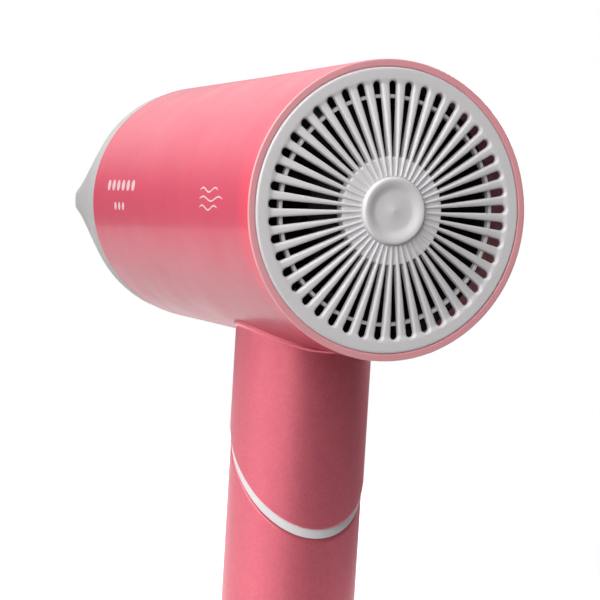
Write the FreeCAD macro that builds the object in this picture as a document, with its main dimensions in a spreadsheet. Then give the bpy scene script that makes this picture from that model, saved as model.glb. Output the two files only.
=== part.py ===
import FreeCAD, Part

import math
import os
import re

import Sketcher
from FreeCAD import Placement, Rotation, Vector

# A travel hair dryer: a straight round barrel with an axial fan, a motor and a mica heater in it,
# a short neck under the barrel, and a grip that twists about a slanted swivel to fold away.
#
# The origin is the centre of the barrel's front rim. +X runs along the barrel's axis, the way the
# air leaves, +Y is to the left and +Z is up. Every length is in millimetres. "Behind" means
# towards -X from the front rim, and "below" means under the barrel's axis.

SIZES = {
    # barrel
    "barrel_length": 140.8, "barrel_radius": 36, "front_radius": 35.6, "seat_length": 68,
    "barrel_bore": 34.2, "lip_round": 0.4,
    # neck and grip, two round columns on one upright axis
    "grip_axis_behind": 90, "neck_radius": 18.1, "grip_radius": 17.7, "grip_wall": 2.0,
    "grip_end_below": 170, "reach": 30,
    "spigot_radius": 12.9, "spigot_bore": 11, "spigot_height": 4.3, "collar_width": 0.5, "collar_rise": 1.0,
    # slanted swivel: "offset" runs along its axis, which points down and forward
    "swivel_below": 66.2, "swivel_tilt": 45, "bulkhead": 4, "ring_half": 1.05, "ring_inset": 0.5,
    "swivel_gap": 0.2, "tube_radius": 6, "tube_bore": 4.2, "tube_flange": 9, "tube_play": 0.05,
    "stop_orbit": 11.5, "stop_radius": 1.2, "stop_play": 0.4, "stop_depth": 2.2,
    # rear grille and its cap
    "grille_flange": 34.15, "grille_opening": 30.9, "grille_skirt": 10, "skirt_wall": 1.5,
    "tab_count": 6, "tab_gap_half": 12, "grille_set_in": 0.8, "flange_proud": 1.0,
    "dome_proud": 2.5, "dome_edge_proud": 0.7, "grille_web": 2.4, "slot_count": 45,
    "slot_start": 13.4, "slot_inner_half": 0.5, "slot_outer_half": 1.05, "slot_corner": 0.9, "slot_turn": 2.1,
    "brace_radius": 27.3, "brace_half": 0.45, "cap_radius": 8.1, "cap_proud": 3.5,
    "cap_seat": 1.2, "cap_stem": 1.5,
    # fan and its duct
    "duct_back": 126, "duct_front": 70, "duct_radius": 33.4, "duct_bore": 32, "duct_rim": 34.1,
    "cup_radius": 15.2, "cup_bore": 13.8, "cup_back": 105, "cup_front": 76, "vane_count": 6,
    "vane_thick": 1.4, "hub_radius": 12.5, "hub_back": 123, "hub_front": 107.5, "hub_wall": 1.3,
    "blade_count": 9, "blade_tip": 30.6, "blade_chord": 13, "blade_thick": 1.1, "blade_middle": 113.5,
    "blade_root_pitch": 42, "blade_tip_pitch": 64,
    # motor
    "motor_radius": 12.25, "motor_bore": 11.4, "motor_back": 103, "motor_front": 76,
    "motor_boss": 4.4, "shaft_radius": 1.15, "shaft_play": 0.03, "bush_radius": 3.05,
    "magnet_bore": 9.5, "armature_radius": 8.8,
    # heater
    "board_back": 68, "board_front": 12.9, "board_thick": 0.8, "board_half": 24, "tab_half": 29.8,
    "tab_length": 4, "coil_radius": 23.4, "coil_wire": 1.1, "coil_pitch": 5.4, "coil_turns": 4,
    "rear_coil_behind": 60, "front_coil_behind": 37, "sleeve_radius": 30.4, "sleeve_wall": 0.4,
    # outlet and nozzle
    "outlet_rim": 34.1, "outlet_bore": 31.4, "outlet_depth": 14, "groove_radius": 32.6,
    "groove_back": 5.6, "groove_front": 3.9, "clip_play": 0.3, "nozzle_spigot": 31,
    "nozzle_spigot_bore": 29.4, "nozzle_radius": 35.1, "nozzle_wall": 1.8, "nozzle_ring_end": 8.4,
    "nozzle_end": 32, "nozzle_half_width": 33, "nozzle_half_height": 5.7, "nozzle_corner": 5,
    # switches, on a board behind a cover in the grip's front; "_below" is under the barrel's axis
    "cover_top": 86, "cover_bottom": 148, "cover_half": 13.2, "cover_gap": 0.2,
    "board_ahead": 5, "pcb_thick": 1.6, "pcb_half": 10, "pcb_top": 88, "pcb_bottom": 146,
    "screw_top": 92, "screw_bottom": 142, "post_radius": 2.6, "screw_radius": 1.1,
    "screw_head": 2.2, "knob_below": 112, "knob_travel": 8, "knob_half": 3.6, "knob_length": 9,
    "stem_half": 1.9, "stem_length": 4, "button_below": 129, "button_radius": 4.6,
    "button_flange": 5.6, "button_play": 0.3,
    # end of the grip
    "end_cap_depth": 20, "end_floor": 3, "seam": 0.5, "end_plug": 4, "gland_radius": 5.1, "gland_bore": 3.6,
    "gland_flange": 6.4, "lug_behind": 12.4, "lug_radius": 5, "lug_hole": 3.2, "lug_half": 2.5,
    "lug_below": 4.4,
}

doc = FreeCAD.newDocument("travel_hair_dryer")
sheet = doc.addObject("Spreadsheet::Sheet", "sizes")
for row, (alias, number) in enumerate(SIZES.items(), 1):
    sheet.set(f"A{row}", alias)
    sheet.set(f"B{row}", str(number))
    sheet.setAlias(f"B{row}", alias)
doc.recompute()

pieces = []


# ---------------------------------------------------------------- formulas and placements

def formula(text):
    """Turn size names in a sum into references to the spreadsheet's cells."""
    return re.sub(r"[a-z][a-z_]*", lambda m: f"sizes.{m[0]}" if m[0] in SIZES else m[0], text)


def bind(thing, **sums):
    """Bind an object's properties to sums of named sizes."""
    for name, text in sums.items():
        thing.setExpression(name, formula(text))
    return thing


def cell(alias):
    """The number in a named cell, for the few shapes that are worked out in code."""
    return sheet.get(alias)


def put(thing, x="0", y="0", z="0", turn=Rotation()):
    """Place an object: its turn is fixed, its position is bound to named sizes."""
    thing.Placement = Placement(Vector(), turn)
    for axis, text in zip("xyz", (x, y, z)):
        if text != "0":
            thing.setExpression(f"Placement.Base.{axis}", formula(text))
    return thing


ALONG_X = Rotation(Vector(0, 1, 0), 90)
DOWN = Rotation(Vector(0, 1, 0), 90)
SWIVEL = Rotation(Vector(0, 1, 0), cell("swivel_tilt"))
GRIP_X = "-grip_axis_behind"
SWIVEL_AT = {"x": GRIP_X, "z": "-swivel_below", "turn": SWIVEL}
GRIP_DOWN = {"x": GRIP_X, "turn": DOWN}


# ---------------------------------------------------------------- ways of making a solid

def piece(thing, label):
    """Name a finished sub-part."""
    thing.Label = label
    pieces.append(thing)
    return thing


def origin_feature(body, role):
    return next(item for item in body.Origin.OriginFeatures if item.Role == role)


def polygon(body, name, role, points):
    """A closed polygon sketch on one of the body's own planes, each corner bound to two sums."""
    sketch = body.newObject("Sketcher::SketchObject", name)
    sketch.AttachmentSupport = (origin_feature(body, role), [""])
    sketch.MapMode = "FlatFace"
    count = len(points)
    rough = [Vector(math.cos(i * 2 * math.pi / count), math.sin(i * 2 * math.pi / count), 0)
             for i in range(count)]
    for i in range(count):
        sketch.addGeometry(Part.LineSegment(rough[i], rough[(i + 1) % count]), False)
    for i in range(count):
        sketch.addConstraint(Sketcher.Constraint("Coincident", i, 2, (i + 1) % count, 1))
    for i, corner in enumerate(points):
        for kind, axis, text in zip(("DistanceX", "DistanceY"), (-2, -1), corner):
            if text == "0":
                sketch.addConstraint(Sketcher.Constraint("PointOnObject", i, 1, axis))
                continue
            index = sketch.addConstraint(Sketcher.Constraint(kind, -1, 1, i, 1, 1.0))
            sketch.renameConstraint(index, f"{kind}_{i}")
            sketch.setExpression(f"Constraints.{kind}_{i}", formula(text))
    return sketch


def turned(name, profile, **place):
    """A body turned about its own X axis from corners of (distance along X, radius)."""
    body = doc.addObject("PartDesign::Body", name)
    turn = body.newObject("PartDesign::Revolution", f"{name}_turn")
    turn.Profile = polygon(body, f"{name}_profile", "XZ_Plane", profile)
    turn.ReferenceAxis = (turn.Profile[0], ["H_Axis"])
    turn.Angle = 360
    return put(body, **place)


def plate(name, role, outline, thick, **place):
    """A body padded to both sides of one of its planes."""
    body = doc.addObject("PartDesign::Body", name)
    pad = body.newObject("PartDesign::Pad", f"{name}_pad")
    pad.Profile = polygon(body, f"{name}_outline", role, outline)
    pad.Midplane = True
    bind(pad, Length=thick)
    return put(body, **place)


def box(name, x, y, z):
    """A block from three (low, high) pairs of sums."""
    block = doc.addObject("Part::Box", name)
    for side, (low, high) in zip(("Length", "Width", "Height"), (x, y, z)):
        bind(block, **{side: f"({high}) - ({low})"})
    return put(block, x=x[0], y=y[0], z=z[0])


def rod(name, radius, length, **place):
    """A round rod that starts at its place and runs along its own Z axis."""
    return put(bind(doc.addObject("Part::Cylinder", name), Radius=radius, Height=length), **place)


def cut(base, *tools):
    result = doc.addObject("Part::Cut", f"{base.Name}_cut")
    result.Base = base
    result.Tool = tools[0] if len(tools) == 1 else fuse(*tools)
    return result


def fuse(*items):
    result = doc.addObject("Part::MultiFuse", f"{items[0].Name}_joined")
    result.Shapes = list(items)
    return result


def common(first, second):
    result = doc.addObject("Part::Common", f"{first.Name}_common")
    result.Base = first
    result.Tool = second
    return result


def level(below):
    """A flat end of a column, as heights at its rear and front."""
    return (f"-({below})", f"-({below})")


def slant(offset):
    """A column's end on the swivel's slanted plane, moved along the swivel's axis."""
    middle = f"-swivel_below - ({offset}) / cos(swivel_tilt)"
    return (f"{middle} - reach * tan(swivel_tilt)", f"{middle} + reach * tan(swivel_tilt)")


def column(name, radius, low, high):
    """A round column on the grip's axis between two ends, each level or slanted."""
    rear, front = "-grip_axis_behind - reach", "-grip_axis_behind + reach"
    outline = [(rear, low[0]), (front, low[1]), (front, high[1]), (rear, high[0])]
    block = plate(f"{name}_block", "XZ_Plane", outline, "2 * reach")
    core = rod(f"{name}_core", radius, "3 * grip_end_below", x=GRIP_X, z="-2 * grip_end_below")
    return common(block, core)


def barrel_outline(more="0"):
    """The barrel's outside: straight at the front, then a slight draft that widens to the rear."""
    return [("-barrel_length", f"barrel_radius + {more}"), ("-seat_length", f"front_radius + {more}"),
            ("0", f"front_radius + {more}")]


def barrel_core(name, more="0"):
    """A solid with the barrel's outside, made larger by "more"."""
    return turned(name, [("-barrel_length", "0"), *barrel_outline(more), ("0", "0")])


# ---------------------------------------------------------------- barrel and neck

def make_barrel():
    body = turned("barrel_tube", [("-barrel_length", "barrel_bore"), *barrel_outline(),
                                  ("0", "barrel_bore")])
    doc.recompute()
    tube = body.Tip
    rear = [f"Edge{i}" for i, edge in enumerate(tube.Shape.Edges, 1)
            if edge.isClosed() and edge.Curve.Radius > cell("barrel_bore") + 0.1
            and abs(edge.Curve.Center.x + cell("barrel_length")) < 0.1]
    lip = body.newObject("PartDesign::Fillet", "barrel_lip")
    lip.Base = (tube, rear)
    bind(lip, Radius="lip_round")
    opening = rod("barrel_opening", "spigot_radius + 0.1", "barrel_radius", x=GRIP_X,
                  z="-barrel_radius - 1")
    piece(cut(body, opening), "barrel_shell")


def make_neck():
    top = level("barrel_radius - 12")
    outside = column("neck_outside", "neck_radius", slant("-ring_half"), top)
    hollow = column("neck_hollow", "neck_radius - grip_wall", slant("-ring_half - bulkhead + 1"), top)
    hollow = cut(hollow, barrel_core("neck_web", "2.5"))
    collar = common(column("neck_collar", "neck_radius + collar_width", slant("-20"), top),
                    barrel_core("collar_outside", "collar_rise"))
    shell = cut(fuse(outside, collar), hollow, barrel_core("neck_saddle"))
    spigot = rod("neck_spigot", "spigot_radius", "spigot_height", x=GRIP_X, z="-barrel_radius - 2.2")
    passage = rod("neck_passage", "spigot_bore", "spigot_height + 2", x=GRIP_X,
                  z="-barrel_radius - 3.5")
    tube_hole = turned("neck_tube_hole", [("-20", "0"), ("-20", "tube_radius"),
                                          ("2", "tube_radius"), ("2", "0")], **SWIVEL_AT)
    stop_hole = turned("neck_stop_hole", [("-bulkhead - 2", "0"), ("-bulkhead - 2", "stop_radius"),
                                          ("2", "stop_radius"), ("2", "0")],
                       **SWIVEL_AT | {"y": "stop_orbit"})
    piece(cut(fuse(shell, spigot), passage, tube_hole, stop_hole), "neck_shell")


# ---------------------------------------------------------------- swivel

def make_swivel():
    head = "-ring_half - bulkhead + 1"
    wear = column("swivel_ring_disc", "neck_radius - ring_inset", slant("ring_half - swivel_gap / 2"),
                  slant("-ring_half"))
    holes = [turned("ring_tube_hole", [("-3", "0"), ("-3", "tube_radius + tube_play"),
                                       ("3", "tube_radius + tube_play"), ("3", "0")], **SWIVEL_AT),
             turned("ring_stop_hole", [("-3", "0"), ("-3", "stop_radius"), ("3", "stop_radius"),
                                       ("3", "0")], **SWIVEL_AT | {"y": "stop_orbit"})]
    piece(cut(wear, *holes), "swivel_ring")

    seat = "ring_half + swivel_gap / 2 + bulkhead + 0.15"
    piece(turned("swivel_tube", [(f"{head} - 2", "tube_bore"), (f"{head} - 2", "tube_flange"),
                                 (head, "tube_flange"), (head, "tube_radius"),
                                 (f"{seat} + 1", "tube_radius"), (f"{seat} + 1", "tube_radius - 0.6"),
                                 (f"{seat} + 2.1", "tube_radius - 0.6"),
                                 (f"{seat} + 2.1", "tube_radius"), (f"{seat} + 3.6", "tube_radius"),
                                 (f"{seat} + 3.6", "tube_bore")], **SWIVEL_AT), "swivel_tube")
    piece(turned("swivel_washer", [(seat, "tube_radius + tube_play"), (seat, "9.5"),
                                   (f"{seat} + 1", "9.5"),
                                   (f"{seat} + 1", "tube_radius + tube_play")], **SWIVEL_AT),
          "swivel_washer")
    clip = turned("swivel_clip_round", [(f"{seat} + 1", "tube_radius - 0.6"), (f"{seat} + 1", "8"),
                                        (f"{seat} + 2", "8"), (f"{seat} + 2", "tube_radius - 0.6")],
                  **SWIVEL_AT)
    mouth = plate("swivel_clip_mouth", "XY_Plane", [("0", "0"), ("20", "0"), ("20", "12"),
                                                    ("0", "12")], "7", **SWIVEL_AT)
    piece(cut(clip, mouth), "swivel_clip")
    piece(turned("stop_pin", [(head, "0"), (head, "stop_radius"),
                              ("ring_half + stop_depth - 0.3", "stop_radius"),
                              ("ring_half + stop_depth - 0.3", "0")],
                 **SWIVEL_AT | {"y": "stop_orbit"}), "stop_pin")


def swivel_travel():
    """The half-circle groove in the grip's end wall that the stop pin runs in."""
    deep = "ring_half + stop_depth"
    half = "(stop_radius + stop_play)"
    ring = turned("travel_ring", [("0", f"stop_orbit - {half}"), ("0", f"stop_orbit + {half}"),
                                  (deep, f"stop_orbit + {half}"), (deep, f"stop_orbit - {half}")],
                  **SWIVEL_AT)
    side = plate("travel_side", "XZ_Plane", [("0", "-20"), ("8", "-20"), ("8", "0"), ("0", "0")],
                 "2 * reach", **SWIVEL_AT)
    ends = [turned(f"travel_end_{name}", [("0", "0"), ("0", half), (deep, half), (deep, "0")],
                   **SWIVEL_AT | {"y": f"{sign}stop_orbit"})
            for name, sign in (("left", ""), ("right", "-"))]
    return fuse(common(ring, side), *ends)


# ---------------------------------------------------------------- rear grille

def make_rear_grille():
    rim = "-barrel_length + grille_set_in"
    face, back = f"{rim} - dome_proud", f"{rim} - dome_proud + grille_web"
    edge, edge_back = f"{rim} - dome_edge_proud", f"{rim} - dome_edge_proud + grille_web"
    seat = f"{face} + cap_seat"
    hole = "cap_stem + 0.1"
    body = turned("grille_disc", [
        (seat, hole), (seat, "cap_radius + 0.2"), (face, "cap_radius + 0.2"),
        (edge, "grille_opening"), (f"{rim} - flange_proud", "grille_opening + 0.4"),
        (f"{rim} - flange_proud", "grille_flange"), (f"{rim} + 2.6", "grille_flange"),
        (f"{rim} + 2.6", "grille_flange - skirt_wall"),
        (edge_back, "grille_opening"), (back, "cap_radius"), (back, hole)],
        turn=Rotation(Vector(1, 0, 0), -cell("slot_turn")))
    slot = body.newObject("PartDesign::Pocket", "grille_slot")
    slot.Profile = polygon(body, "grille_slot_outline", "YZ_Plane", [
        ("-slot_inner_half", "slot_start"), ("slot_inner_half", "slot_start"),
        ("slot_outer_half", "grille_opening - slot_corner"),
        ("slot_outer_half / 2", "grille_opening"), ("-slot_outer_half / 2", "grille_opening"),
        ("-slot_outer_half", "grille_opening - slot_corner")])
    slot.Type = "ThroughAll"
    slot.Midplane = True
    slots = body.newObject("PartDesign::PolarPattern", "grille_slots")
    slots.Originals = [slot]
    slots.Axis = (origin_feature(body, "X_Axis"), [""])
    slots.Angle = 360
    bind(slots, Occurrences="slot_count")
    body.Tip = slots
    skirt = turned("grille_skirt_ring", [(f"{rim} + 1.6", "grille_flange - skirt_wall"),
                                         (f"{rim} + 1.6", "grille_flange"),
                                         (f"{rim} + grille_skirt", "grille_flange"),
                                         (f"{rim} + grille_skirt", "grille_flange - skirt_wall")])
    gap = skirt.newObject("PartDesign::Pocket", "skirt_gap")
    gap.Profile = polygon(skirt, "skirt_gap_outline", "YZ_Plane", [
        ("-tab_gap_half", "grille_flange / 2"), ("tab_gap_half", "grille_flange / 2"),
        ("tab_gap_half", "grille_flange + 1"), ("-tab_gap_half", "grille_flange + 1")])
    gap.Type = "ThroughAll"
    gap.Midplane = True
    gaps = skirt.newObject("PartDesign::PolarPattern", "skirt_gaps")
    gaps.Originals = [gap]
    gaps.Axis = (origin_feature(skirt, "X_Axis"), [""])
    gaps.Angle = 360
    bind(gaps, Occurrences="tab_count")
    skirt.Tip = gaps
    brace_front = f"{edge_back} - 0.4"
    brace = turned("grille_brace", [(brace_front, "brace_radius - brace_half"),
                                    (brace_front, "brace_radius + brace_half"),
                                    (f"{edge_back} + 1", "brace_radius + brace_half"),
                                    (f"{edge_back} + 1", "brace_radius - brace_half")])
    piece(fuse(body, skirt, brace), "rear_grille")

    top = f"{rim} - cap_proud"
    piece(turned("grille_cap", [
        (f"{back} + 0.8", "0"), (f"{back} + 0.8", "cap_stem"), (seat, "cap_stem"),
        (seat, "cap_radius"), (f"{top} + 0.5", "cap_radius"), (top, "cap_radius - 0.5"),
        (top, "cap_radius - 1.4"), (f"{top} + 1.1", "cap_radius - 4.5"), (f"{top} + 1.2", "0")]),
        "grille_cap")


# ---------------------------------------------------------------- fan, duct and motor

def make_duct():
    duct = turned("duct_tube", [
        ("-duct_back", "duct_bore"), ("-duct_back", "duct_rim"), ("-duct_back + 2", "duct_rim"),
        ("-duct_back + 2", "duct_radius"), ("-duct_front - 2", "duct_radius"),
        ("-duct_front - 2", "duct_rim"), ("-duct_front", "duct_rim"),
        ("-duct_front", "sleeve_radius + 0.1"), ("-duct_front - 4", "sleeve_radius + 0.1"),
        ("-duct_front - 4", "duct_bore")])
    cup = turned("duct_cup", [
        ("-cup_back", "motor_boss + 0.3"), ("-cup_back", "cup_radius"), ("-cup_front", "cup_radius"),
        ("-cup_front", "cup_bore"), ("-cup_back + 1.4", "cup_bore"),
        ("-cup_back + 1.4", "motor_boss + 0.3")])
    vanes = []
    for i in range(int(cell("vane_count"))):
        around = Rotation(Vector(1, 0, 0), (i + 0.5) * 360 / cell("vane_count"))
        vane = plate(f"duct_vane_{i}", "XZ_Plane", [
            ("-cup_back + 4", "cup_radius - 0.4"), ("-cup_front - 4", "cup_radius - 0.4"),
            ("-cup_front - 2", "duct_bore + 0.4"), ("-cup_back + 2", "duct_bore + 0.4")],
            "vane_thick", turn=around)
        vanes.append(vane)
    lead_slot = box("duct_lead_slot", ("-grip_axis_behind - 4", "-grip_axis_behind + 2"),
                    ("-5", "5"), ("-duct_rim - 1", "-duct_bore + 1"))
    piece(cut(fuse(duct, cup, *vanes), lead_slot), "fan_duct")


def blade_section(radius, pitch):
    """One closed section of a blade, square to the radius it stands on."""
    length, thick = cell("blade_chord") / 2, cell("blade_thick") / 2
    lean = math.radians(pitch)
    corners = []
    for along, across in ((-length, -thick), (length, -thick), (length, thick), (-length, thick)):
        corners.append(Vector(along * math.cos(lean) - across * math.sin(lean) - cell("blade_middle"),
                              along * math.sin(lean) + across * math.cos(lean), radius))
    return Part.makePolygon(corners + corners[:1])


def make_fan():
    hub = turned("fan_hub", [
        ("-hub_back", "0"), ("-hub_back + 0.5", "5"), ("-hub_back + 1.8", "9.3"),
        ("-hub_back + 4.2", "hub_radius"), ("-hub_front", "hub_radius"),
        ("-hub_front", "hub_radius - hub_wall"), ("-hub_back + 4.6", "hub_radius - hub_wall"),
        ("-hub_back + 2.6", "7.6"), ("-hub_back + 2", "3.2"), ("-hub_front - 2.5", "3.2"),
        ("-hub_front - 2.5", "shaft_radius"), ("-hub_back + 1.5", "shaft_radius"),
        ("-hub_back + 1.5", "0")])
    blades = doc.addObject("Part::Feature", "fan_blades")
    root = blade_section(cell("hub_radius") - 0.5, cell("blade_root_pitch"))
    tip = blade_section(cell("blade_tip"), cell("blade_tip_pitch"))
    blade = Part.makeLoft([root, tip], True)
    count = int(cell("blade_count"))
    copies = []
    for i in range(count):
        turned_blade = blade.copy()
        turned_blade.rotate(Vector(), Vector(1, 0, 0), i * 360 / count)
        copies.append(turned_blade)
    blades.Shape = Part.makeCompound(copies)
    piece(fuse(hub, blades), "fan_impeller")


def make_motor():
    piece(turned("motor_sleeve", [
        ("-motor_back", "motor_radius"), ("-motor_back", "cup_bore"),
        ("-motor_front - 2", "cup_bore"), ("-motor_front - 2", "motor_radius")]), "motor_sleeve")
    piece(turned("motor_can", [
        ("-motor_back - 3", "bush_radius"), ("-motor_back - 3", "motor_boss"),
        ("-motor_back", "motor_boss"), ("-motor_back", "motor_radius"),
        ("-motor_front", "motor_radius"), ("-motor_front", "motor_bore"),
        ("-motor_back + 0.8", "motor_bore"), ("-motor_back + 0.8", "bush_radius")]), "motor_can")
    cap = turned("motor_cap_disc", [
        ("-motor_front", "bush_radius"), ("-motor_front", "motor_radius"),
        ("-motor_front + 2.5", "motor_radius"), ("-motor_front + 2.5", "motor_boss"),
        ("-motor_front + 4.5", "motor_boss"), ("-motor_front + 4.5", "bush_radius")])
    tabs = [box(f"motor_tab_{name}", ("-motor_front + 2.4", "-motor_front + 7"),
                (f"{y} - 0.25", f"{y} + 0.25"), ("-1.4", "1.4"))
            for name, y in (("left", "8.5"), ("right", "-8.5"))]
    piece(fuse(cap, *tabs), "motor_end_cap")
    piece(fuse(turned("motor_bush_rear", [
        ("-motor_back - 3", "shaft_radius + shaft_play"), ("-motor_back - 3", "bush_radius"),
        ("-motor_back + 0.8", "bush_radius"), ("-motor_back + 0.8", "shaft_radius + shaft_play")]),
        turned("motor_bush_front", [
            ("-motor_front", "shaft_radius + shaft_play"), ("-motor_front", "bush_radius"),
            ("-motor_front + 4.5", "bush_radius"),
            ("-motor_front + 4.5", "shaft_radius + shaft_play")])), "motor_bushes")
    ring = turned("motor_magnet_ring", [
        ("-motor_back + 5", "magnet_bore"), ("-motor_back + 5", "motor_bore"),
        ("-motor_front - 6", "motor_bore"), ("-motor_front - 6", "magnet_bore")])
    gap = box("motor_magnet_gap", ("-motor_back", "-motor_front"), ("-4", "4"), ("-15", "15"))
    piece(cut(ring, gap), "motor_magnets")
    piece(turned("motor_armature", [
        ("-motor_back + 3.5", "shaft_radius"), ("-motor_back + 3.5", "6.4"),
        ("-motor_back + 5.5", "armature_radius"), ("-motor_front - 7", "armature_radius"),
        ("-motor_front - 5", "6.4"), ("-motor_front - 5", "3"), ("-motor_front - 1", "3"),
        ("-motor_front - 1", "shaft_radius")]), "motor_armature")
    piece(rod("motor_shaft", "shaft_radius", "hub_back - 1.5 - motor_front + 4.2",
              x="-hub_back + 1.5", turn=ALONG_X), "motor_shaft")


# ---------------------------------------------------------------- heater

def coil(name, behind, wire):
    """A heater winding as a row of plain rings, each turn a ring."""
    rings = []
    for i in range(int(cell("coil_turns"))):
        ring = bind(doc.addObject("Part::Torus", f"{name}_{i}"), Radius1="coil_radius", Radius2=wire)
        rings.append(put(ring, x=f"-{behind} + {i} * coil_pitch", turn=ALONG_X))
    return fuse(*rings)


def make_heater():
    back, front = "-board_back", "-board_front"
    outline = [(back, "-tab_half"), (f"{back} + tab_length", "-tab_half"),
               (f"{back} + tab_length", "-board_half"), (f"{front} - tab_length", "-board_half"),
               (f"{front} - tab_length", "-tab_half"), (front, "-tab_half"), (front, "tab_half"),
               (f"{front} - tab_length", "tab_half"), (f"{front} - tab_length", "board_half"),
               (f"{back} + tab_length", "board_half"), (f"{back} + tab_length", "tab_half"),
               (back, "tab_half")]
    middle = "-(board_back + board_front) / 2"
    half = "board_thick / 2"
    laps = {"mica_board_upright": ("XZ_Plane", (middle, "1"), ("-10", "10"), (f"-({half})", half)),
            "mica_board_flat": ("XY_Plane", ("-board_back - 1", middle), (f"-({half})", half),
                                ("-10", "10"))}
    for label, (role, x, y, z) in laps.items():
        notches = [coil(f"{label}_{end}_notch", f"{end}_coil_behind", "coil_wire + 0.1")
                   for end in ("rear", "front")]
        blank = plate(f"{label}_blank", role, outline, "board_thick")
        piece(cut(blank, box(f"{label}_lap", x, y, z), *notches), label)
    for end in ("rear", "front"):
        piece(coil(f"heater_coil_{end}", f"{end}_coil_behind", "coil_wire"), f"heater_coil_{end}")
    inner = "sleeve_radius - sleeve_wall"
    piece(turned("mica_sleeve", [("-duct_front - 3.5", inner), ("-duct_front - 3.5", "sleeve_radius"),
                                 ("-outlet_depth + 2", "sleeve_radius"),
                                 ("-outlet_depth + 2", inner)]), "mica_sleeve")
    piece(fuse(box("thermostat_base", ("-58", "-46"), ("6", "16"), (half, f"{half} + 2.4")),
               box("thermostat_blade", ("-57", "-44"), ("9.5", "12.5"),
                   (f"{half} + 2.4", f"{half} + 3"))), "thermostat")
    wires = rod("fuse_wires", "0.4", "20", x="-62", y="-11", z=f"{half} + 1.7", turn=ALONG_X)
    case = rod("fuse_case", "1.7", "10", x="-57", y="-11", z=f"{half} + 1.7", turn=ALONG_X)
    piece(fuse(wires, case), "thermal_fuse")


# ---------------------------------------------------------------- outlet and nozzle

def make_outlet():
    piece(turned("outlet_ring", [
        ("-outlet_depth", "sleeve_radius + 0.1"), ("-outlet_depth", "outlet_rim"),
        ("-0.4", "outlet_rim"), ("-0.4", "outlet_bore"), ("-groove_front", "outlet_bore"),
        ("-groove_front", "groove_radius"), ("-groove_back", "groove_radius"),
        ("-groove_back", "outlet_bore"), ("-outlet_depth + 2", "outlet_bore"),
        ("-outlet_depth + 2", "sleeve_radius + 0.1")]), "outlet_ring")
    back, front = "-outlet_depth + 2", "-outlet_depth + 3.6"
    rings = [turned(f"outlet_grille_ring_{i}", [(back, low), (back, high), (front, high), (front, low)])
             for i, (low, high) in enumerate((("29.6", "outlet_bore"), ("19.4", "20.6"),
                                              ("9.4", "10.6"), ("0", "3")))]
    bars = []
    for i in range(3):
        around = Rotation(Vector(1, 0, 0), i * 60)
        bars.append(plate(f"outlet_grille_bar_{i}", "XZ_Plane", [
            (back, "-30"), (front, "-30"), (front, "30"), (back, "30")], "1.4", turn=around))
    piece(fuse(*rings, *bars), "outlet_grille")


def hood_section(x, half_width, half_height, squareness):
    """A closed smooth section: a circle at squareness 2, a soft rectangle above it."""
    points = []
    for i in range(72):
        angle = 2 * math.pi * i / 72
        c, s = math.cos(angle), math.sin(angle)
        points.append(Vector(x, half_width * math.copysign(abs(c) ** (2 / squareness), c),
                             half_height * math.copysign(abs(s) ** (2 / squareness), s)))
    curve = Part.BSplineCurve()
    curve.interpolate(Points=points, PeriodicFlag=True)
    return Part.Wire([curve.toShape()])


def hood(name, less, past):
    """The nozzle's hood, from its round ring to its flat mouth, made smaller by "less"."""
    start, end = cell("nozzle_ring_end"), cell("nozzle_end")
    radius = cell("nozzle_radius") - less
    loft = Part.makeLoft([
        hood_section(start, radius, radius, 2),
        hood_section(end + past, cell("nozzle_half_width") - less,
                     cell("nozzle_half_height") - less, cell("nozzle_corner"))], True, True)
    feature = doc.addObject("Part::Feature", name)
    feature.Shape = loft
    return feature


def make_nozzle():
    clip = turned("nozzle_clip_round", [
        ("-groove_back + clip_play", "nozzle_spigot + 0.05"),
        ("-groove_back + clip_play", "groove_radius - clip_play"),
        ("-groove_front - clip_play", "groove_radius - clip_play"),
        ("-groove_front - clip_play", "nozzle_spigot + 0.05")])
    mouth = box("nozzle_clip_mouth", ("-groove_back - 1", "-groove_front + 1"), ("-5", "5"),
                ("nozzle_spigot - 3", "groove_radius + 3"))
    piece(cut(clip, mouth), "nozzle_snap_ring")

    inner = "nozzle_radius - nozzle_wall"
    base = turned("nozzle_base", [
        ("-outlet_depth + 4.2", "nozzle_spigot_bore"), ("-outlet_depth + 4.2", "nozzle_spigot"),
        ("0.3", "nozzle_spigot"), ("0.3", "nozzle_radius"), ("nozzle_ring_end", "nozzle_radius"),
        ("nozzle_ring_end", inner), ("2.1", inner), ("2.1", "nozzle_spigot_bore")])
    shell = cut(hood("hood_outside", 0, 0), hood("hood_inside", cell("nozzle_wall"), 0.01))
    piece(fuse(base, shell), "concentrator_nozzle")


# ---------------------------------------------------------------- grip

def ahead(distance):
    """A place ahead of the grip's axis."""
    return f"-grip_axis_behind + {distance}"


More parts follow.
